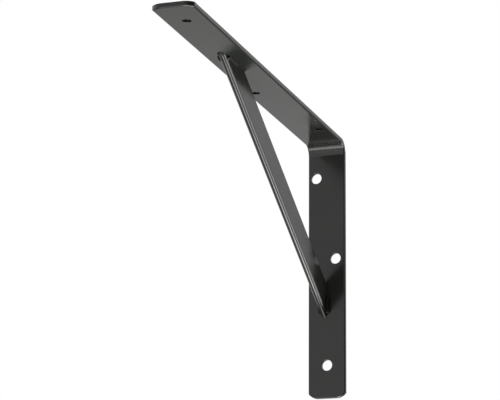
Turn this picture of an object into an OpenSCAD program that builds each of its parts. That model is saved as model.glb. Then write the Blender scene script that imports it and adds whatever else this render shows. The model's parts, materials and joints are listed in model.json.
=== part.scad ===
// Steel shelf bracket: one flat strip bent into a wall leg and a shelf arm,
// with a folded channel brace welded across the corner.
//
// The bracket is drawn about its corner, where the wall plane (Y = 0), the
// shelf plane (Z = 0) and the strip's middle plane (X = 0) meet. The arm runs
// towards -Y and the leg runs down. Each node is then lifted so that the
// origin is the centre of the lowest wall hole, on the wall plane.

/* [Strip] */
// Width of the flat strip
strip_w = 25.4; // [24:0.2:50]
// Thickness of the flat strip
strip_t = 3; // [2:0.25:5]
// Length of the shelf arm, from the wall plane to its tip
arm_len = 300; // [260:5:450]
// Length of the wall leg, from the shelf plane to its lower end
leg_len = 175; // [155:5:260]
// Inside radius of the bend between the leg and the arm
bend_r = 7; // [3:0.5:12]
// Radius of the drawn-in edges, all round the room side of the strip
edge_r = 0.9; // [0.25:0.05:1.2]
// Radius of the sharper edges, all round the wall side of the strip
burr_r = 0.25; // [0.15:0.05:0.5]
// Radius of the arcs that cut the corners at both ends of the strip
corner_r = 8; // [5:0.5:9.5]
// How far from the strip's end such an arc meets its side, at an angle
corner_cut = 3.3; // [1:0.1:4.5]

/* [Wall holes] */
// Diameter of the wall holes
wall_hole_d = 7.3; // [3:0.1:8]
// Upper wall hole, down from the shelf plane
wall_hole_upper = 25; // [20:1:40]
// Middle wall hole, down from the shelf plane
wall_hole_middle = 81; // [60:1:90]
// Lowest wall hole, up from the lower end of the leg
wall_hole_end = 22; // [12:1:40]
// Upper wall hole, to the left of the middle plane
wall_hole_upper_side = 7.3; // [0:0.1:7.5]
// Middle wall hole, to the right of the middle plane
wall_hole_middle_side = 6; // [0:0.5:7]

/* [Shelf holes] */
// Diameter of the shelf holes
shelf_hole_d = 5.5; // [3:0.1:8]
// Rear shelf hole, out from the wall plane
shelf_hole_rear = 43; // [22:1:70]
// Middle shelf hole, out from the wall plane
shelf_hole_middle = 132; // [80:1:160]
// Front shelf hole, in from the tip of the arm
shelf_hole_end = 25; // [12:1:60]
// Rear and middle shelf holes, right and left of the middle plane
shelf_hole_side = 7; // [0:0.5:7]

/* [Brace] */
// Place where the brace's folded edge meets the arm, out from the wall plane
brace_out = 213; // [180:1:225]
// Place where the brace's folded edge meets the leg, down from the shelf plane
brace_down = 121; // [110:1:125]
// Depth of the brace, from its folded edge to its open edges
brace_depth = 18.5; // [12:0.5:24]
// Thickness of the sheet that the brace is folded from
brace_sheet_t = 1.5; // [0.8:0.1:2]
// Gap between the two sides of the folded brace
brace_gap = 1.4; // [0.5:0.1:3]
// Place of the brace across the strip, right of the middle plane
brace_side = -1.6; // [-2:0.1:2]

/* [Details] */
// Width of the drawn-in rim on the punched side of each hole
hole_break = 0.3; // [0.1:0.05:0.5]
// Leg length of the weld beads
weld_leg = 2.2; // [0.5:0.1:2.6]
// Length of a weld bead on the arm
weld_arm_len = 18; // [6:0.5:21]
// Length of a weld bead on the leg
weld_leg_len = 12; // [5:0.5:14]
// Radius and height of the weld in front of the brace's upper end
weld_nose_r = 2.3; // [1:0.1:3]
weld_nose_h = 1.3; // [0.5:0.1:2]

/* [Hidden] */

// Segments of a full round
$fn = 64;
// How far a cutting tool runs past the face that it opens
cut_over = 1;

black_coat = "#26272a";

// The drawn-in edges leave a flat band on thin strip
edge_share = 0.4;
edge_round = min(edge_r, edge_share * strip_t);

// How far in from the side a corner's arc starts, and its middle's place
// across the strip
corner_reach = sqrt(pow(corner_r, 2) - pow(corner_r - corner_cut, 2));
corner_x = strip_w / 2 - corner_reach;

// The bend's outside radius, and the angle that it turns through
bend_outer_r = bend_r + strip_t;
bend_angle = 90;

// The lowest wall hole, down from the shelf plane, and the front shelf hole,
// out from the wall plane
wall_hole_lowest = leg_len - wall_hole_end;
shelf_hole_front = arm_len - shelf_hole_end;

// Width of the folded brace over both sides, and the radius of its fold
brace_w = 2 * brace_sheet_t + brace_gap;
fold_r = brace_w / 2;
// The folded edge runs from the arm's underside to the leg's front face
brace_run = brace_out - strip_t;
brace_drop = brace_down - strip_t;
brace_len = norm([brace_run, brace_drop]);
brace_angle = atan2(brace_drop, brace_run);
// A blank this much longer at each end still reaches both faces when it is
// cut to them along its whole depth
brace_spare = brace_depth * max(brace_run, brace_drop) / min(brace_run, brace_drop);
// The middle of each weld bead, which starts where the fold's round ends
weld_arm_at = brace_out - fold_r / sin(brace_angle) - weld_arm_len / 2;
weld_leg_at = brace_down - fold_r / cos(brace_angle) - weld_leg_len / 2;
// Radius of the sphere whose cap is the weld in front of the upper end
nose_sphere_r = (pow(weld_nose_r, 2) + pow(weld_nose_h, 2)) / (2 * weld_nose_h);

// The cross-section of a strip of width w, with its middle on the origin and
// its room side towards -y
module section(w) {
    room_y = edge_round - strip_t / 2;
    wall_y = strip_t / 2 - burr_r;
    translate([-w / 2, room_y]) square([w, wall_y - room_y]);
    translate([edge_round - w / 2, -strip_t / 2]) square([w - 2 * edge_round, wall_y + strip_t / 2]);
    translate([burr_r - w / 2, room_y]) square([w - 2 * burr_r, strip_t / 2 - room_y]);
    for (side = [-1, 1]) {
        translate([side * (w / 2 - edge_round), room_y]) circle(edge_round);
        translate([side * (w / 2 - burr_r), wall_y]) circle(burr_r);
    }
}

// What the round of an edge takes off the rim, on its room side
module edge_cut(r) {
    difference() {
        translate([corner_r - r, -2 * strip_t]) square([2 * r, 1.5 * strip_t + r]);
        translate([corner_r - r, r - strip_t / 2]) circle(r);
    }
}

// Half the section of the form that cuts an end. It is thicker than the strip,
// and its outer edge at a corner's radius has the strip's own rounds.
module rim() {
    difference() {
        translate([0, -strip_t]) square([corner_r, 2 * strip_t]);
        edge_cut(edge_round);
        mirror([0, 1]) edge_cut(burr_r);
    }
}

// The form that cuts the upper end of a length of strip: a wide block with the
// rim carried round the arcs of both corners
module end_form(len) {
    translate([-strip_w, -strip_t, 0]) cube([2 * strip_w, 2 * strip_t, len - corner_r]);
    translate([0, 0, len - corner_r]) {
        rotate([0, -90, 0]) linear_extrude(2 * corner_x, center = true) rim();
        for (side = [0, 1]) mirror([side, 0, 0])
            translate([corner_x, 0, 0])
                rotate([90, 0, 0]) rotate_extrude(angle = 90) mirror([0, 1]) rim();
    }
}

// A straight length of strip that runs up from z = 0, with its front side at
// y = -strip_t and the corners cut by arcs at its upper end
module strip_length(len) {
    translate([0, -strip_t / 2, 0]) intersection() {
        linear_extrude(len) section(strip_w);
        end_form(len);
    }
}

// The quarter turn that joins the leg to the arm, about the bend's axis
module bend() {
    translate([0, -bend_outer_r, -bend_outer_r])
        rotate([0, -90, 0])
            rotate_extrude(angle = bend_angle)
                translate([bend_outer_r - strip_t / 2, 0])
                    rotate(-90) section(strip_w);
}

// The cut for a hole that a punch makes from z = 0 up through the strip. The
// punch draws in the rim on its own side.
module hole(d) {
    translate([0, 0, -cut_over]) cylinder(h = strip_t + 2 * cut_over, d = d);
    translate([0, 0, -cut_over])
        cylinder(h = cut_over + hole_break, d1 = d + 2 * (cut_over + hole_break), d2 = d);
}

// A hole punched from the front of the leg
module wall_hole(side, down) {
    translate([side, -strip_t, -down]) rotate([-90, 0, 0]) hole(wall_hole_d);
}

// A hole punched from under the arm
module shelf_hole(side, out) {
    translate([side, -out, -strip_t]) hole(shelf_hole_d);
}

// Lifts the corner to its place above the lowest wall hole
module from_corner() {
    translate([0, 0, wall_hole_lowest]) children();
}

module bent_strip() {
    color(black_coat) from_corner() difference() {
        union() {
            // wall leg
            translate([0, 0, -bend_outer_r])
                mirror([0, 0, 1]) strip_length(leg_len - bend_outer_r);
            bend();
            // shelf arm
            translate([0, -bend_outer_r, 0])
                rotate([90, 0, 0]) strip_length(arm_len - bend_outer_r);
        }
        wall_hole(-wall_hole_upper_side, wall_hole_upper);
        wall_hole(wall_hole_middle_side, wall_hole_middle);
        wall_hole(0, wall_hole_lowest);
        shelf_hole(shelf_hole_side, shelf_hole_rear);
        shelf_hole(-shelf_hole_side, shelf_hole_middle);
        shelf_hole(0, shelf_hole_front);
    }
}

// A strip of width w that runs from its half-round end at x = 0 to x = d
module tongue(w, d) {
    translate([w / 2, 0]) circle(d = w);
    translate([w / 2, -w / 2]) square([d - w / 2, w]);
}

// The brace's cross-section: x is its depth from the folded edge, y is its width
module brace_section() {
    difference() {
        tongue(brace_w, brace_depth);
        translate([brace_sheet_t, 0]) tongue(brace_gap, brace_depth);
    }
}

// The space in the corner that the brace's ends are cut to
module corner_space() {
    translate([-strip_w, -arm_len, -leg_len])
        cube([2 * strip_w, arm_len - strip_t, leg_len - strip_t]);
}

// Carries a section along the brace, past both of its ends
module along_brace() {
    translate([brace_side, -brace_out, -strip_t])
        rotate([-brace_angle, 0, 0])
            translate([0, -brace_spare, 0])
                rotate([-90, -90, 0])
                    linear_extrude(brace_len + 2 * brace_spare) children();
}

module brace() {
    color(black_coat) from_corner() intersection() {
        along_brace() brace_section();
        corner_space();
    }
}

// A convex bead with round ends, along z, in the quarter where x and y are
// both positive
module bead(len) {
    intersection() {
        union() {
            translate([0, 0, weld_leg - len / 2]) cylinder(h = len - 2 * weld_leg, r = weld_leg);
            for (end = [-1, 1]) translate([0, 0, end * (len / 2 - weld_leg)]) sphere(weld_leg);
        }
        translate([0, 0, -len]) cube([2 * weld_leg, 2 * weld_leg, 2 * len]);
    }
}

// The low cap of weld under the arm, in front of the brace's folded edge
module nose_weld() {
    difference() {
        intersection() {
            translate([brace_side, -brace_out, nose_sphere_r - weld_nose_h - strip_t])
                sphere(nose_sphere_r);
            corner_space();
        }
        along_brace() tongue(brace_w, brace_depth);
    }
}

module weld_beads() {
    color(black_coat) from_corner() nose_weld();
    color(black_coat) from_corner() for (side = [0, 1])
        translate([brace_side, 0, 0]) mirror([side, 0, 0]) translate([fold_r, 0, 0]) {
            // under the arm
            translate([0, -weld_arm_at, -strip_t]) rotate([-90, 0, 0]) bead(weld_arm_len);
            // in front of the leg
            translate([0, -strip_t, -weld_leg_at]) mirror([0, 1, 0]) bead(weld_leg_len);
        }
}

bent_strip();
brace();
weld_beads();
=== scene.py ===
"""The looks of a black powder-coated shelf bracket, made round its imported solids.

The strip is laid out flat, with its holes and its sheared edges, and then bent, as the real
blank is. The brace is a folded channel that is cut to the strip at both ends, where weld beads
hold it. The frame gives the size, and the record's mounts give the holes. Lengths are in metres.
"""

import json
import logging
import math
from dataclasses import dataclass
from enum import Enum

import bpy
import numpy as np
from mathutils import Matrix, Vector


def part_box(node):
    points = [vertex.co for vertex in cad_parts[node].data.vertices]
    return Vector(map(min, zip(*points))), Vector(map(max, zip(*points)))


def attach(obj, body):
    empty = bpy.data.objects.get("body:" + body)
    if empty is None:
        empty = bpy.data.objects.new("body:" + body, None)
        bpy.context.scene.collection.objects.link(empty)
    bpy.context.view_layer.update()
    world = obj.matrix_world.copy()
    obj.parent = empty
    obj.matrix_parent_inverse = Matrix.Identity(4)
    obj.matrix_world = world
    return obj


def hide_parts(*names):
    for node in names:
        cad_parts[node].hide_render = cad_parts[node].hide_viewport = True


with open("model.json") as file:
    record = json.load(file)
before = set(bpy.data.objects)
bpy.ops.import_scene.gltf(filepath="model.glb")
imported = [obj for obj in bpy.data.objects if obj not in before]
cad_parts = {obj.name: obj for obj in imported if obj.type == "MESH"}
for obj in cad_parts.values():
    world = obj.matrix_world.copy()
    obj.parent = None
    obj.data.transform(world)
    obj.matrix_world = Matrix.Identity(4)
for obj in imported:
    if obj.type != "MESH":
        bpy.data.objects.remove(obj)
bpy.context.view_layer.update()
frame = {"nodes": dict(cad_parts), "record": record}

LOG = logging.getLogger("shelf_bracket")
MM = 0.001
QUARTER_TURN = math.pi / 2
BODY = "root"


class BlankSide(Enum):
    """The two flat sides of the strip. The value is the sign of the outward depth direction."""

    WALL_SIDE = -1
    ROOM_SIDE = 1


class Plane(Enum):
    """The two faces of the strip that the brace is cut to."""

    ARM = "under the arm"
    LEG = "in front of the leg"


def linear(hex_colour: str) -> tuple[float, float, float, float]:
    """Turns an sRGB hex colour into linear red, green, blue and alpha.

    Args:
        hex_colour: six hex digits after a hash, such as "#26272a".

    Returns:
        The linear colour with an alpha of 1.
    """
    srgb = [int(hex_colour[i : i + 2], 16) / 255 for i in (1, 3, 5)]
    return (*[c / 12.92 if c <= 0.04045 else ((c + 0.055) / 1.055) ** 2.4 for c in srgb], 1.0)


def add_node(
    tree: bpy.types.NodeTree, kind: str, settings: dict | None = None, inputs: dict | None = None
) -> bpy.types.Node:
    """Adds a node to a node tree, sets it up and links it.

    Args:
        tree: the node tree.
        kind: the node's type, as bpy names it.
        settings: the node's properties by name.
        inputs: a value or an output socket for each input, by the input's name or number.

    Returns:
        The new node.
    """
    node = tree.nodes.new(kind)
    for name, value in (settings or {}).items():
        setattr(node, name, value)
    for name, value in (inputs or {}).items():
        if isinstance(value, bpy.types.NodeSocket):
            tree.links.new(value, node.inputs[name])
        else:
            node.inputs[name].default_value = value
    return node


def rows_between(start: np.ndarray, end: np.ndarray, count: int) -> np.ndarray:
    """A ruled grid: row k lies k / count of the way from the start points to the end points.

    Args:
        start: points of the first row, shaped (columns, axes).
        end: points of the last row, in the same shape.
        count: how many cells lie between the two rows.

    Returns:
        The grid, shaped (count + 1, columns, axes).
    """
    share = np.linspace(0, 1, count + 1)[:, None, None]
    return (1 - share) * start + share * end


def coons(low: np.ndarray, high: np.ndarray, left: np.ndarray, right: np.ndarray) -> np.ndarray:
    """A Coons patch: the two ruled grids between opposite edges, less the grid of the corners.

    Args:
        low: the edge at b = 0, shaped (columns, axes).
        high: the edge at b = 1, as long as low.
        left: the edge at a = 0, shaped (rows, axes), from low's first point to high's.
        right: the edge at a = 1, as long as left.

    Returns:
        The grid, shaped (rows, columns, axes).
    """
    a = np.linspace(0, 1, len(low))[None, :, None]
    b = np.linspace(0, 1, len(left))[:, None, None]
    ruled_up = (1 - b) * low[None] + b * high[None]
    ruled_across = (1 - a) * left[:, None] + a * right[:, None]
    corners = (1 - b) * ((1 - a) * low[0] + a * low[-1]) + b * ((1 - a) * high[0] + a * high[-1])
    return ruled_up + ruled_across - corners


class Skin:
    """A closed surface, collected from grids of points whose edges meet."""

    WELD = 0.001 * MM  # a grid cell in which two points are one vertex
    CELL_SHIFT = 0.371  # keeps round sizes away from the borders of those cells

    def __init__(self, name: str) -> None:
        """Starts an empty surface. Args: name is the piece's name."""
        self.name = name
        self.points: list[np.ndarray] = []
        self.normals: list[np.ndarray] = []
        self.quads: list[np.ndarray] = []
        self.count = 0

    def add(self, points: np.ndarray, normals: np.ndarray) -> None:
        """Adds a grid as quads that all face the way its normals point.

        A quad's own normal is the cross product of its diagonals. Where the sum of its products
        with the given normals is negative, the whole grid is turned over.

        Args:
            points: the grid, shaped (rows, columns, 3).
            normals: the outward unit normal at each point, in the same shape.
        """
        rows, columns = points.shape[:2]
        index = np.arange(rows * columns).reshape(rows, columns)
        corners = [index[:-1, :-1], index[1:, :-1], index[1:, 1:], index[:-1, 1:]]
        quads = np.stack(corners, axis=-1).reshape(-1, 4)
        flat_points = points.reshape(-1, 3)
        flat_normals = np.broadcast_to(normals, points.shape).reshape(-1, 3)
        at = flat_points[quads]
        turned = np.cross(at[:, 2] - at[:, 0], at[:, 3] - at[:, 1])
        if (turned * flat_normals[quads].sum(axis=1)).sum() < 0:
            quads = quads[:, ::-1]
        self.points.append(flat_points)
        self.normals.append(flat_normals)
        self.quads.append(quads + self.count)
        self.count += rows * columns

    def build(self) -> bpy.types.Object:
        """Joins the grids into one mesh object that keeps the normals it was given.

        A quad with two corners on one vertex becomes a triangle, and one with more is left out.

        Returns:
            The object, at the origin and linked to the scene.
        """
        points = np.concatenate(self.points)
        cells = np.floor(points / self.WELD + self.CELL_SHIFT).astype(np.int64)
        _, first, vertex = np.unique(cells, axis=0, return_index=True, return_inverse=True)
        quads = np.concatenate(self.quads)
        faces = vertex.reshape(-1)[quads]
        doubled = faces == np.roll(faces, -1, axis=1)
        whole = ~doubled.any(axis=1)
        cut = doubled.sum(axis=1) == 1
        triangles = faces[cut][~doubled[cut]].reshape(-1, 3)
        mesh = bpy.data.meshes.new(self.name)
        mesh.from_pydata(points[first].tolist(), [], faces[whole].tolist() + triangles.tolist())
        mesh.shade_smooth()
        corners = np.concatenate([quads[whole].ravel(), quads[cut][~doubled[cut]]])
        mesh.normals_split_custom_set(np.concatenate(self.normals)[corners].tolist())
        piece = bpy.data.objects.new(self.name, mesh)
        bpy.context.scene.collection.objects.link(piece)
        return piece


@dataclass(frozen=True)
class PowderCoat:
    """Semi-gloss black polyester powder coat, sprayed on steel and baked.

    The melt flows out to a dark, smooth film. Its mirror images are blurred and carry a fine
    orange peel, and its black is never quite even.
    """

    name: str = "baked_black_powder_coat"
    pigment: str = "#151713"
    thin_film: str = "#191b17"
    index: float = 1.5
    gloss_rough: float = 0.15
    dull_rough: float = 0.22
    cloud_size: float = 14 * MM
    cloud_low: float = 0.35
    cloud_high: float = 0.65
    speck_size: float = 0.9 * MM
    peel_size: float = 1.6 * MM
    peel_height: float = 0.0012 * MM

    def material(self) -> bpy.types.Material:
        """Builds the finish from noise on Object coordinates, in metres.

        Returns:
            The material.
        """
        made = bpy.data.materials.new(self.name)
        made.use_nodes = True
        tree = made.node_tree
        tree.nodes.clear()
        place = add_node(tree, "ShaderNodeTexCoord").outputs["Object"]
        cloud = self.noise(tree, place, self.cloud_size, detail=3.0)
        speck = self.noise(tree, place, self.speck_size, detail=2.0)
        peel = self.noise(tree, place, self.peel_size, detail=1.0)
        colour = add_node(
            tree,
            "ShaderNodeMix",
            {"data_type": "RGBA"},
            {0: speck, 6: linear(self.pigment), 7: linear(self.thin_film)},
        )
        rough = add_node(
            tree,
            "ShaderNodeMapRange",
            inputs={
                "Value": cloud,
                "From Min": self.cloud_low,
                "From Max": self.cloud_high,
                "To Min": self.gloss_rough,
                "To Max": self.dull_rough,
            },
        )
        bump = add_node(
            tree,
            "ShaderNodeBump",
            inputs={"Height": peel, "Strength": 1.0, "Distance": self.peel_height},
        )
        shader = add_node(
            tree,
            "ShaderNodeBsdfPrincipled",
            inputs={
                "Base Color": colour.outputs[2],
                "Roughness": rough.outputs["Result"],
                "IOR": self.index,
                "Normal": bump.outputs["Normal"],
            },
        )
        add_node(tree, "ShaderNodeOutputMaterial", inputs={"Surface": shader.outputs["BSDF"]})
        return made

    @staticmethod
    def noise(
        tree: bpy.types.NodeTree, place: bpy.types.NodeSocket, size: float, detail: float
    ) -> bpy.types.NodeSocket:
        """Noise whose patches measure about one size across.

        Args:
            tree: the material's node tree.
            place: the coordinates, in metres.
            size: width of a patch, in metres.
            detail: how many finer layers are added.

        Returns:
            The noise's value, from 0 to 1.
        """
        inputs = {"Vector": place, "Scale": 1 / size, "Detail": detail}
        return add_node(tree, "ShaderNodeTexNoise", inputs=inputs).outputs[0]


@dataclass(frozen=True)
class Hole:
    """A punched hole, placed on the flat blank."""

    along: float
    across: float
    radius: float


@dataclass
class BentStrip:
    """The wall leg and the shelf arm: one flat blank, punched and then bent.

    A place on the blank is (along, across, deep): how far from the lower end of the leg, how far
    to the right of the middle line, and how deep from the wall side. The shear draws the edges of
    the room side in, and leaves those of the wall side sharper.
    """

    low: Vector
    high: Vector
    thickness: float = 3.0 * MM
    bend_radius: float = 7.0 * MM
    room_edge: float = 0.9 * MM
    wall_edge: float = 0.25 * MM
    corner_radius: float = 8.0 * MM
    corner_cut: float = 3.3 * MM
    punched_rim: float = 0.3 * MM
    burr_rim: float = 0.1 * MM
    hole_reach: float = 10.0 * MM
    row_step: float = 4.0 * MM
    bend_rows: int = 40
    columns: int = 40
    side_rows: int = 32
    ring_rows: int = 6
    round_rows: int = 8
    corner_rows: int = 16

    def __post_init__(self) -> None:
        """Works out the blank's sizes. The bend takes its length at half the thickness."""
        self.outer_radius = self.bend_radius + self.thickness
        self.half_width = (self.high.x - self.low.x) / 2
        self.leg_straight = self.high.z - self.low.z - self.outer_radius
        self.bend_length = (self.bend_radius + self.thickness / 2) * QUARTER_TURN
        self.arm_starts = self.leg_straight + self.bend_length
        self.length = self.arm_starts + self.high.y - self.low.y - self.outer_radius
        turn = math.acos(1 - self.corner_cut / self.corner_radius)
        self.corner_x = self.half_width - self.corner_radius * math.sin(turn)
        self.holes = sorted(self.read_holes(), key=lambda hole: hole.along)

    def read_holes(self) -> list[Hole]:
        """Places the record's bore mounts on the blank.

        Returns:
            One hole for each bore.
        """
        holes = []
        for mount in frame["record"]["mounts"]:
            if mount["kind"] != "bore":
                continue
            x, y, z = mount["pos_m"]
            in_leg = abs(mount["axis"][1]) > abs(mount["axis"][2])
            out = self.high.y - self.outer_radius - y
            along = z - self.low.z if in_leg else self.arm_starts + out
            holes.append(Hole(along, x, mount["dims"]["r_mm"] * MM))
        return holes

    def fold(self, place: np.ndarray, facing: np.ndarray) -> tuple[np.ndarray, np.ndarray]:
        """Bends places on the blank, and directions there, to where they are on the bracket.

        On the leg, z grows with along. In the bend, a point turns about the bend's axis at the
        outer radius less its depth. Past it, the point moves out along -y.

        Args:
            place: (along, across, deep) of each point, shaped (..., 3).
            facing: a unit direction at each point in the same three axes, in the same shape.

        Returns:
            The points and the directions in the frame's own axes.
        """
        along, across, deep = np.moveaxis(place, -1, 0)
        turned = np.clip((along - self.leg_straight) / self.bend_length, 0, 1) * QUARTER_TURN
        up = np.minimum(along, self.leg_straight)
        out = np.maximum(along - self.arm_starts, 0)
        radius = self.outer_radius - deep
        y = self.high.y - self.outer_radius + radius * np.cos(turned) - out
        z = self.low.z + up + radius * np.sin(turned)
        points = np.stack([across, y, z], axis=-1)
        f_along, f_across, f_deep = np.moveaxis(np.broadcast_to(facing, place.shape), -1, 0)
        f_y = -f_along * np.sin(turned) - f_deep * np.cos(turned)
        f_z = f_along * np.cos(turned) - f_deep * np.sin(turned)
        return points, np.stack([f_across, f_y, f_z], axis=-1)

    def add(self, skin: Skin, place: np.ndarray, facing: np.ndarray) -> None:
        """Folds a grid on the blank and adds it. Args: skin, place and facing as for fold."""
        skin.add(*self.fold(place, facing))

    def edge(self, side: BlankSide) -> float:
        """The radius of the edges of one side of the blank. Args: side is that side."""
        return self.room_edge if side is BlankSide.ROOM_SIDE else self.wall_edge

    def lift(self, flat: np.ndarray, side: BlankSide) -> tuple[np.ndarray, np.ndarray]:
        """Puts places on the blank's plan on one of its two flat sides.

        Args:
            flat: (along, across) of each point, shaped (..., 2).
            side: the side.

        Returns:
            The places and the outward directions, shaped (..., 3).
        """
        deep = self.thickness if side is BlankSide.ROOM_SIDE else 0.0
        place = np.concatenate([flat, np.full((*flat.shape[:-1], 1), deep)], axis=-1)
        return place, np.array([0.0, 0.0, side.value])

    def stations(self) -> list[tuple[float, float, int, Hole | None]]:
        """Splits the straight sides into stretches, each with or without a hole.

        Returns:
            The start, end, number of rows and hole of each stretch, from leg to arm.
        """
        first, last = self.corner_radius, self.length - self.corner_radius
        ends = {first, last, self.leg_straight, self.arm_starts}
        by_start = {}
        for hole in self.holes:
            ends |= {hole.along - self.hole_reach, hole.along + self.hole_reach}
            by_start[hole.along - self.hole_reach] = hole
        ordered = sorted(ends)
        found = []
        for start, end in zip(ordered, ordered[1:]):
            hole = by_start.get(start)
            plain = max(1, round((end - start) / self.row_step))
            rows = self.bend_rows if start == self.leg_straight else plain
            found.append((start, end, self.side_rows if hole else rows, hole))
        return found

    def add_stretch(self, skin: Skin, start: float, end: float, rows: int) -> None:
        """Adds both flat sides of a stretch with no hole.

        Args:
            skin: the surface.
            start: where the stretch starts.
            end: where it ends.
            rows: its number of rows.
        """
        along = np.linspace(start, end, rows + 1)
        for side in BlankSide:
            half = self.half_width - self.edge(side)
            across = np.linspace(-half, half, self.columns + 1)
            flat = np.stack(np.meshgrid(along, across, indexing="ij"), axis=-1)
            self.add(skin, *self.lift(flat, side))

    def border(self, start: float, end: float, half: float) -> np.ndarray:
        """The border of a stretch, once round, as (along, across).

        Args:
            start: where the stretch starts.
            end: where it ends.
            half: half its width.

        Returns:
            The points, shaped (count, 2), with the first repeated.
        """
        across = np.linspace(-half, half, self.columns + 1)
        along = np.linspace(start, end, self.side_rows + 1)
        low = np.stack([np.full_like(across, start), across], axis=-1)
        right = np.stack([along, np.full_like(along, half)], axis=-1)
        high = np.stack([np.full_like(across, end), across[::-1]], axis=-1)
        left = np.stack([along[::-1], np.full_like(along, -half)], axis=-1)
        return np.concatenate([low, right[1:], high[1:], left[1:]])

    def add_hole(self, skin: Skin, start: float, end: float, hole: Hole) -> None:
        """Adds both flat sides of a stretch with a hole, and the hole's rims and wall.

        A ray goes from the hole's centre towards each point of the stretch's border. The flat
        side is ruled from the rim to the border, the rim is a quarter round on the rays, and the
        wall joins the two rims.

        Args:
            skin: the surface.
            start: where the stretch starts.
            end: where it ends.
            hole: the hole.
        """
        centre = np.array([hole.along, hole.across])
        ray = self.border(start, end, self.half_width) - centre
        ray /= np.linalg.norm(ray, axis=-1, keepdims=True)
        phi = np.linspace(0, QUARTER_TURN, self.round_rows + 1)[:, None]
        rims = {BlankSide.WALL_SIDE: self.burr_rim, BlankSide.ROOM_SIDE: self.punched_rim}
        for side, rim in rims.items():
            border = self.border(start, end, self.half_width - self.edge(side))
            flat = rows_between(centre + ray * (hole.radius + rim), border, self.ring_rows)
            self.add(skin, *self.lift(flat, side))
            radius = hole.radius + rim * (1 - np.sin(phi))
            sunk = rim * (1 - np.cos(phi))
            deep = self.thickness - sunk if side is BlankSide.ROOM_SIDE else sunk
            place = self.on_rays(centre, ray, radius, deep)
            facing = self.on_rays(np.zeros(2), ray, -np.sin(phi), side.value * np.cos(phi))
            self.add(skin, place, facing)
        deep = np.array([[self.burr_rim], [self.thickness - self.punched_rim]])
        wall = self.on_rays(centre, ray, np.full_like(deep, hole.radius), deep)
        inward = self.on_rays(np.zeros(2), ray, np.full_like(deep, -1.0), np.zeros_like(deep))
        self.add(skin, wall, inward)

    @staticmethod
    def on_rays(
        centre: np.ndarray, ray: np.ndarray, radius: np.ndarray, deep: np.ndarray
    ) -> np.ndarray:
        """Places at a radius and a depth on each ray from a centre.

        Args:
            centre: (along, across) of the centre.
            ray: unit directions, shaped (columns, 2).
            radius: one radius for each row, shaped (rows, 1).
            deep: one depth for each row, in the same shape.

        Returns:
            The grid, shaped (rows, columns, 3).
        """
        flat = centre + ray[None] * radius[..., None]
        depth = np.broadcast_to(deep[..., None], (*flat.shape[:2], 1))
        return np.concatenate([flat, depth], axis=-1)

    def end_path(self, inset: np.ndarray) -> tuple[np.ndarray, np.ndarray]:
        """The outline of the far end at each inset, from its right side to its left.

        Each corner is an arc about one centre, whose radius is less by the inset. It starts where
        it crosses the side, and there the two rounds of the edge meet in a mitre.

        Args:
            inset: how far each row lies inside the outline, shaped (rows,).

        Returns:
            (along from the arcs' centres, across) and the outward directions, both shaped
            (rows, columns, 2).
        """
        radius = (self.corner_radius - inset)[:, None]
        half = (self.half_width - inset)[:, None]
        first = np.arccos((half - self.corner_x) / radius)
        share = np.linspace(0, 1, self.corner_rows + 1)
        psi = (1 - share) * first + share * QUARTER_TURN
        outward = np.stack([np.sin(psi), np.cos(psi)], axis=-1)
        arc = radius[..., None] * outward + np.array([0, self.corner_x])
        across = np.linspace(self.corner_x, -self.corner_x, self.columns + 1)[None, 1:-1]
        across = np.broadcast_to(across, (len(inset), self.columns - 1))
        straight = np.stack([np.broadcast_to(radius, across.shape), across], axis=-1)
        flip = np.array([1, -1])
        points = np.concatenate([arc, straight, arc[:, ::-1] * flip], axis=1)
        ahead = np.zeros_like(straight) + np.array([1, 0])
        facing = np.concatenate([outward, ahead, outward[:, ::-1] * flip], axis=1)
        return points, facing

    def add_end(self, skin: Skin, toward: int) -> None:
        """Adds both flat sides of an end, each as a Coons patch, and the end's edge.

        Args:
            skin: the surface.
            toward: 1 for the tip of the arm, -1 for the lower end of the leg.
        """
        line = self.length - self.corner_radius if toward > 0 else self.corner_radius
        mirror_along = np.array([toward, 1])
        start = np.array([line, 0])
        for side in BlankSide:
            half = self.half_width - self.edge(side)
            path = start + self.end_path(np.array([self.edge(side)]))[0][0] * mirror_along
            split = self.corner_rows, self.corner_rows + self.columns
            right = np.concatenate([[[line, half]], path[: split[0] + 1]])
            left = np.concatenate([[[line, -half]], path[split[1] :][::-1]])
            across = np.linspace(-half, half, self.columns + 1)
            low = np.stack([np.full_like(across, line), across], axis=-1)
            high = path[split[0] : split[1] + 1][::-1]
            self.add(skin, *self.lift(coons(low, high, left, right), side))
        inset, deep, rise, turn = self.edge_profile()
        path, outward = self.end_path(inset)
        flat = start + path * mirror_along
        depth = np.broadcast_to(deep[:, None, None], (*flat.shape[:2], 1))
        sideways = outward * mirror_along * rise[:, None, None]
        depthways = np.broadcast_to(turn[:, None, None], depth.shape)
        place = np.concatenate([flat, depth], axis=-1)
        self.add(skin, place, np.concatenate([sideways, depthways], axis=-1))

    def edge_profile(self) -> tuple[np.ndarray, np.ndarray, np.ndarray, np.ndarray]:
        """The profile of the edge: a quarter round on each side, with a flat band between.

        Returns:
            The inset, the depth, and the outward and the depthwise part of the direction.
        """
        phi = np.linspace(0, QUARTER_TURN, self.round_rows + 1)
        wall_inset = self.wall_edge * (1 - np.sin(phi))
        wall_deep = self.wall_edge * (1 - np.cos(phi))
        room_inset = self.room_edge * (1 - np.sin(phi))
        room_deep = self.thickness - self.room_edge * (1 - np.cos(phi))
        inset = np.concatenate([wall_inset, room_inset[::-1]])
        deep = np.concatenate([wall_deep, room_deep[::-1]])
        rise = np.concatenate([np.sin(phi), np.sin(phi)[::-1]])
        turn = np.concatenate([-np.cos(phi), np.cos(phi)[::-1]])
        return inset, deep, rise, turn

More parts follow.
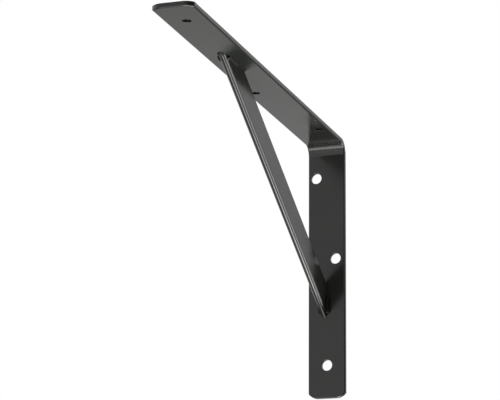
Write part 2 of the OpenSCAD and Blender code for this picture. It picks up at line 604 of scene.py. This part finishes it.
    def add_side_edges(self, skin: Skin) -> None:
        """Carries the edge's profile along both sides, from mitre to mitre.

        Args:
            skin: the surface.
        """
        inset, deep, rise, turn = self.edge_profile()
        path, _ = self.end_path(inset)
        mitre = path[:, :1, 0]
        along = [np.array([self.corner_radius])]
        for start, end, rows, _ in self.stations():
            along.append(np.linspace(start, end, rows + 1)[1:])
        middle = np.broadcast_to(np.concatenate(along), (len(inset), sum(map(len, along))))
        first = self.corner_radius - mitre
        last = self.length - self.corner_radius + mitre
        place_along = np.concatenate([first, middle, last], axis=1)
        depth = np.broadcast_to(deep[:, None], place_along.shape)
        turned = np.broadcast_to(turn[:, None], place_along.shape)
        for right in (-1, 1):
            across = np.broadcast_to(right * (self.half_width - inset)[:, None], depth.shape)
            outward = np.broadcast_to(right * rise[:, None], depth.shape)
            place = np.stack([place_along, across, depth], axis=-1)
            self.add(skin, place, np.stack([np.zeros_like(depth), outward, turned], axis=-1))

    def build(self, finish: bpy.types.Material) -> bpy.types.Object:
        """Builds the strip's surface and dresses it.

        Args:
            finish: the coat.

        Returns:
            The piece, which stands for the strip's solid.
        """
        skin = Skin("bent_strip_coated")
        for start, end, rows, hole in self.stations():
            if hole:
                self.add_hole(skin, start, end, hole)
            else:
                self.add_stretch(skin, start, end, rows)
        for toward in (-1, 1):
            self.add_end(skin, toward)
        self.add_side_edges(skin)
        return dress(skin.build(), "bent_strip", finish)


@dataclass
class Brace:
    """The brace: thin sheet folded lengthwise into a channel, and cut to the strip at both ends.

    A point of its section is (deep, right): how far from the folded edge towards the corner, and
    how far right of the brace's own middle plane.
    """

    low: Vector
    high: Vector
    depth: float = 18.5 * MM
    sheet: float = 1.5 * MM
    lip_round: float = 0.35 * MM
    fold_rows: int = 32
    side_rows: int = 8
    lip_rows: int = 6
    rows: int = 40

    def __post_init__(self) -> None:
        """Reads the brace's box: its folded edge runs corner to corner across it."""
        self.width = self.high.x - self.low.x
        self.gap = self.width - 2 * self.sheet
        run = self.high.y - self.low.y
        drop = self.high.z - self.low.z
        self.angle = math.atan2(drop, run)
        self.edge_top = np.array([(self.low.x + self.high.x) / 2, self.low.y, self.high.z])
        self.run = run

    def path(
        self, radius: float, centre: float, lip: float, outside: bool
    ) -> tuple[np.ndarray, np.ndarray]:
        """One side of the folded sheet, from the fold's middle plane to the middle of the lip.

        Args:
            radius: radius of the fold on this side of the sheet.
            centre: depth of the fold's axis.
            lip: radius of the lip's round.
            outside: whether this is the sheet's outer side.

        Returns:
            The points (deep, right) and the directions away from the sheet.
        """
        phi = np.linspace(0, QUARTER_TURN, self.fold_rows + 1)
        away = np.stack([-np.cos(phi), np.sin(phi)], axis=-1)
        fold = np.array([centre, 0]) + away * radius
        straight = np.linspace(centre, self.depth - lip, self.side_rows + 1)[1:]
        side = np.stack([straight, np.full_like(straight, radius)], axis=-1)
        out = 1 if outside else -1
        psi = np.linspace(0, QUARTER_TURN, self.lip_rows + 1)
        lip_away = np.stack([np.sin(psi), out * np.cos(psi)], axis=-1)
        lip_at = np.array([self.depth - lip, radius - out * lip]) + lip_away * lip
        points = np.concatenate([fold, side, lip_at])
        facing = np.concatenate([out * away, side * 0 + [0, out], lip_away])
        return points, facing

    def cut(self, section: np.ndarray, plane: Plane) -> np.ndarray:
        """Where the section's points meet the strip.

        A point at depth d is moved along the brace by d over the tangent of the brace's angle to
        meet the arm, or by the rest of the run over its cosine to meet the leg.

        Args:
            section: (deep, right) of each point, shaped (count, 2).
            plane: the face of the strip.

        Returns:
            The points in the frame's own axes, shaped (count, 3).
        """
        deep, right = section.T
        along = deep / math.tan(self.angle)
        if plane is Plane.LEG:
            along = (self.run - deep * math.sin(self.angle)) / math.cos(self.angle)
        y = deep * math.sin(self.angle) + along * math.cos(self.angle)
        z = deep * math.cos(self.angle) - along * math.sin(self.angle)
        return self.edge_top + np.stack([right, y, z], axis=-1)

    def facing(self, section_facing: np.ndarray) -> np.ndarray:
        """Turns directions in the section to the frame's own axes, shaped (count, 3)."""
        deep, right = section_facing.T
        y = deep * math.sin(self.angle)
        z = deep * math.cos(self.angle)
        return np.stack([right, y, z], axis=-1)

    def build(self, finish: bpy.types.Material) -> bpy.types.Object:
        """Builds the channel's surface and dresses it.

        Each half of each side of the sheet is a ruled grid between its two cut ends. The lip's
        two rounds meet at the middle of the sheet, and a strip between the sides closes each end.

        Args:
            finish: the coat.

        Returns:
            The piece, which stands for the brace's solid.
        """
        skin = Skin("brace_coated")
        outer = self.path(self.width / 2, self.width / 2, self.lip_round, outside=True)
        inner = self.path(self.gap / 2, self.sheet + self.gap / 2, self.lip_round, outside=False)
        for mirror in (np.array([1, 1]), np.array([1, -1])):
            ends = []
            for points, away in (outer, inner):
                top = self.cut(points * mirror, Plane.ARM)
                foot = self.cut(points * mirror, Plane.LEG)
                skin.add(rows_between(top, foot, self.rows), self.facing(away * mirror)[None])
                ends.append((top, foot))
            (outer_top, outer_foot), (inner_top, inner_foot) = ends
            skin.add(np.stack([outer_top, inner_top]), np.array([0.0, 0.0, 1.0]))
            skin.add(np.stack([outer_foot, inner_foot]), np.array([0.0, 1.0, 0.0]))
            lip = [np.stack([side[0][-1], side[1][-1]]) for side in ends]
            skin.add(np.stack(lip), self.facing(np.array([[1.0, 0.0]]))[None])
        return dress(skin.build(), "brace", finish)


@dataclass
class WeldBeads:
    """Fillet welds: one on each side of the brace at each end, and a low cap before its nose."""

    brace: Brace
    leg: float = 2.2 * MM
    arm_length: float = 18.0 * MM
    leg_length: float = 12.0 * MM
    cap_radius: float = 2.3 * MM
    cap_height: float = 1.3 * MM
    ripple_pitch: float = 1.5 * MM
    ripple_height: float = 0.08 * MM
    rows: int = 96
    columns: int = 12
    cap_rows: int = 12
    cap_columns: int = 48

    def bead(self, length: float) -> tuple[np.ndarray, np.ndarray]:
        """A bead in the corner between two faces, along its own length.

        The radius grows as a quarter circle at both ends, less a small ripple that repeats with
        the pitch of the welder's steps. The convex face is that radius turned through a quarter.

        Args:
            length: the bead's length.

        Returns:
            (along, from one face, from the other) of the convex grid, and its outward directions.
        """
        share = np.linspace(-1, 1, self.rows + 1)
        along = np.sin(share * QUARTER_TURN) * length / 2
        room = np.clip((length / 2 - np.abs(along)) / self.leg, 0, 1)
        ripple = self.ripple_height * (0.5 + 0.5 * np.cos(2 * np.pi * along / self.ripple_pitch))
        radius = (self.leg - ripple) * np.sqrt(1 - (1 - room) ** 2)
        theta = np.linspace(0, QUARTER_TURN, self.columns + 1)
        shape = (self.rows + 1, self.columns + 1)
        slope = np.broadcast_to(-np.gradient(radius, along)[:, None], shape)
        across, deep = np.cos(theta), np.sin(theta)
        spread = np.broadcast_to(along[:, None], shape)
        grid = np.stack([spread, radius[:, None] * across, radius[:, None] * deep], axis=-1)
        facing = [slope, np.broadcast_to(across, shape), np.broadcast_to(deep, shape)]
        facing = np.stack(facing, axis=-1)
        return grid, facing / np.linalg.norm(facing, axis=-1, keepdims=True)

    def seams(self) -> list[tuple[np.ndarray, np.ndarray, float]]:
        """Where each bead lies: it starts where the round of the brace's fold ends.

        Returns:
            The middle of each bead, its axes (along, away from the brace, away from the strip) as
            rows, and its length.
        """
        brace = self.brace
        found = []
        for right in (-1, 1):
            at = np.array([[brace.width / 2, right * brace.width / 2]])
            arm_axes = np.array([[0, 1, 0], [right, 0, 0], [0, 0, -1]])
            leg_axes = np.array([[0, 0, 1], [right, 0, 0], [0, -1, 0]])
            top = brace.cut(at, Plane.ARM)[0] + arm_axes[0] * self.arm_length / 2
            foot = brace.cut(at, Plane.LEG)[0] + leg_axes[0] * self.leg_length / 2
            found.append((top, arm_axes, self.arm_length))
            found.append((foot, leg_axes, self.leg_length))
        return found

    def add_cap(self, skin: Skin) -> None:
        """Adds the cap in front of the brace's upper end: the low part of a sphere.

        Args:
            skin: the surface.
        """
        sphere = (self.cap_radius**2 + self.cap_height**2) / (2 * self.cap_height)
        opening = math.asin(self.cap_radius / sphere)
        polar = np.linspace(0, opening, self.cap_rows + 1)[:, None]
        around = np.linspace(0, 2 * np.pi, self.cap_columns + 1)[None]
        down = np.broadcast_to(-np.cos(polar), (self.cap_rows + 1, self.cap_columns + 1))
        away = np.stack([np.sin(polar) * np.cos(around), np.sin(polar) * np.sin(around), down], -1)
        centre = self.brace.edge_top + np.array([0, 0, sphere - self.cap_height])
        cap = centre + away * sphere
        skin.add(cap, away)
        middle = np.broadcast_to(self.brace.edge_top, cap[-1].shape)
        skin.add(np.stack([middle, cap[-1]]), np.array([0.0, 0.0, 1.0]))

    def build(self, finish: bpy.types.Material) -> bpy.types.Object:
        """Builds the beads and the cap, and dresses them.

        Args:
            finish: the coat.

        Returns:
            The piece, which stands for the welds' solids.
        """
        skin = Skin("weld_beads_coated")
        for middle, axes, length in self.seams():
            grid, facing = self.bead(length)
            skin.add(middle + grid @ axes, facing @ axes)
            spine = grid * np.array([1, 0, 0])
            for column, face in ((0, 2), (-1, 1)):
                back = np.stack([spine[:, column], grid[:, column]])
                skin.add(middle + back @ axes, -axes[face].astype(float))
        self.add_cap(skin)
        return dress(skin.build(), "weld_beads", finish)


def dress(piece: bpy.types.Object, node: str, finish: bpy.types.Material) -> bpy.types.Object:
    """Gives a piece its finish and its place in the frame.

    Args:
        piece: the new piece.
        node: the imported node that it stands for.
        finish: its material.

    Returns:
        The same piece.
    """
    piece.data.materials.append(finish)
    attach(piece, BODY)
    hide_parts(node)
    frame["nodes"][node].data.materials.clear()
    frame["nodes"][node].data.materials.append(finish)
    return piece


@dataclass(frozen=True)
class SoftPanel:
    """A soft light far off, brightest in one direction and dimmer all round it."""

    name: str
    toward: tuple[float, float, float]
    focus: float
    strength: float

    def build(
        self, tree: bpy.types.NodeTree, way: bpy.types.NodeSocket, others: bpy.types.NodeSocket
    ) -> bpy.types.NodeSocket:
        """Adds this panel's light to that of others.

        The light is the strength times e to the power of focus times the cosine less one, with
        the cosine of the angle between the way looked at and the panel.

        Args:
            tree: the world's node tree.
            way: the direction that is looked at.
            others: the light of the panels before this one.

        Returns:
            The sum.
        """
        toward = Vector(self.toward).normalized()
        cosine = add_node(
            tree, "ShaderNodeVectorMath", {"operation": "DOT_PRODUCT"}, {0: way, 1: toward}
        )
        fall = add_node(
            tree,
            "ShaderNodeMath",
            {"operation": "MULTIPLY_ADD"},
            {0: cosine.outputs["Value"], 1: self.focus, 2: -self.focus},
        )
        glow = add_node(tree, "ShaderNodeMath", {"operation": "EXPONENT"}, {0: fall.outputs[0]})
        total = add_node(
            tree,
            "ShaderNodeMath",
            {"operation": "MULTIPLY_ADD"},
            {0: glow.outputs[0], 1: self.strength, 2: others},
        )
        total.label = self.name
        return total.outputs[0]


@dataclass(frozen=True)
class Studio:
    """A plain pale studio: floor, white surroundings, soft panels of light and the camera.

    The bracket hangs at its own height over the floor, as it does on a wall.
    """

    aim: tuple[float, float, float] = (-26.4 * MM, -84.7 * MM, 94.3 * MM)
    azimuth_deg: float = 18.89
    elevation_deg: float = -14.52
    roll_deg: float = 0.445
    distance: float = 1.4611
    lens_mm: float = 164.15
    sensor_mm: float = 36.0
    floor_drop: float = 1.5
    floor_half: float = 30.0
    floor_colour: str = "#f2f2f0"
    floor_rough: float = 0.8
    dim_room: float = 0.04
    panels: tuple[SoftPanel, ...] = (
        SoftPanel("low_right_back", (0.78, 0.49, -0.39), 20.0, 5.4),
        SoftPanel("below_back", (0.12, 0.40, -0.91), 54.0, 20.0),
        SoftPanel("below_left", (-0.31, -0.18, -0.93), 60.0, 3.0),
        SoftPanel("below_front", (0.02, -0.25, -0.97), 50.0, 18.0),
        SoftPanel("low_left_front", (-0.31, -0.75, -0.58), 8.0, 1.0),
        SoftPanel("front", (-0.11, -0.99, 0.12), 11.0, 0.75),
        SoftPanel("high_right_back", (0.60, 0.45, 0.66), 10.0, 3.4),
        SoftPanel("back_left", (-0.26, 0.97, -0.01), 30.0, 0.55),
        SoftPanel("left", (-0.92, 0.18, 0.34), 2.0, 1.4),
    )

    def build(self) -> None:
        """Builds the whole studio."""
        self.add_camera()
        self.add_surroundings()
        self.add_floor()
        bpy.context.scene.view_settings.view_transform = "Standard"

    def add_camera(self) -> None:
        """Adds the camera. Its axis passes through the aim, at the photograph's angles."""
        azimuth, elevation = math.radians(self.azimuth_deg), math.radians(self.elevation_deg)
        flat = math.cos(elevation)
        back = Vector((math.sin(azimuth) * flat, -math.cos(azimuth) * flat, math.sin(elevation)))
        data = bpy.data.cameras.new("camera")
        data.sensor_width = self.sensor_mm
        data.lens = self.lens_mm
        camera = bpy.data.objects.new("camera", data)
        upright = back.to_track_quat("Z", "Y").to_matrix()
        rolled = upright @ Matrix.Rotation(math.radians(self.roll_deg), 3, "Z")
        camera.matrix_world = rolled.to_4x4()
        camera.location = Vector(self.aim) + back * self.distance
        bpy.context.scene.collection.objects.link(camera)
        bpy.context.scene.camera = camera

    def add_surroundings(self) -> None:
        """Makes the world white to the camera, and to the coat a dim room with soft panels."""
        world = bpy.data.worlds.new("studio")
        world.use_nodes = True
        tree = world.node_tree
        tree.nodes.clear()
        rays = add_node(tree, "ShaderNodeLightPath")
        way = add_node(tree, "ShaderNodeTexCoord").outputs["Generated"]
        light = add_node(tree, "ShaderNodeValue").outputs[0]
        light.default_value = self.dim_room
        for panel in self.panels:
            light = panel.build(tree, way, light)
        room = add_node(
            tree, "ShaderNodeBackground", inputs={"Color": (1, 1, 1, 1), "Strength": light}
        )
        white = add_node(tree, "ShaderNodeBackground", inputs={"Color": (1, 1, 1, 1)})
        both = add_node(
            tree,
            "ShaderNodeMixShader",
            inputs={0: rays.outputs["Is Camera Ray"], 1: room.outputs[0], 2: white.outputs[0]},
        )
        add_node(tree, "ShaderNodeOutputWorld", inputs={"Surface": both.outputs[0]})
        bpy.context.scene.world = world

    def add_floor(self) -> None:
        """Adds the plain pale floor, well below the bracket."""
        half = self.floor_half
        corners = [(-half, -half), (half, -half), (half, half), (-half, half)]
        mesh = bpy.data.meshes.new("floor")
        mesh.from_pydata([(x, y, -self.floor_drop) for x, y in corners], [], [(0, 1, 2, 3)])
        floor = bpy.data.objects.new("floor", mesh)
        bpy.context.scene.collection.objects.link(floor)
        made = bpy.data.materials.new("painted_studio_floor")
        made.use_nodes = True
        shader = made.node_tree.nodes["Principled BSDF"]
        shader.inputs["Base Color"].default_value = linear(self.floor_colour)
        shader.inputs["Roughness"].default_value = self.floor_rough
        mesh.materials.append(made)
        # only the camera sees the floor, so the panels below it still light the bracket
        floor.visible_diffuse = False
        floor.visible_glossy = False
        floor.visible_shadow = False


def main() -> None:
    logging.basicConfig(level=logging.INFO, format="%(name)s: %(message)s")
    coat = PowderCoat().material()
    # the welds get a rougher, duller copy of the coat; its darker pigment and weaker reflection
    # are painted shade for the dark corners where the brace meets the strip
    shaded_weld_coat = PowderCoat(
        "baked_black_powder_coat_on_weld",
        pigment="#0b0c0a",
        thin_film="#0d0e0c",
        index=1.25,
        gloss_rough=0.3,
        dull_rough=0.4,
    )
    brace = Brace(*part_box("brace"))
    pieces = [
        BentStrip(*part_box("bent_strip")).build(coat),
        brace.build(coat),
        WeldBeads(brace).build(shaded_weld_coat.material()),
    ]
    for piece in pieces:
        LOG.info("%s: %d faces", piece.name, len(piece.data.polygons))
    Studio().build()


if __name__ == "__main__":
    main()
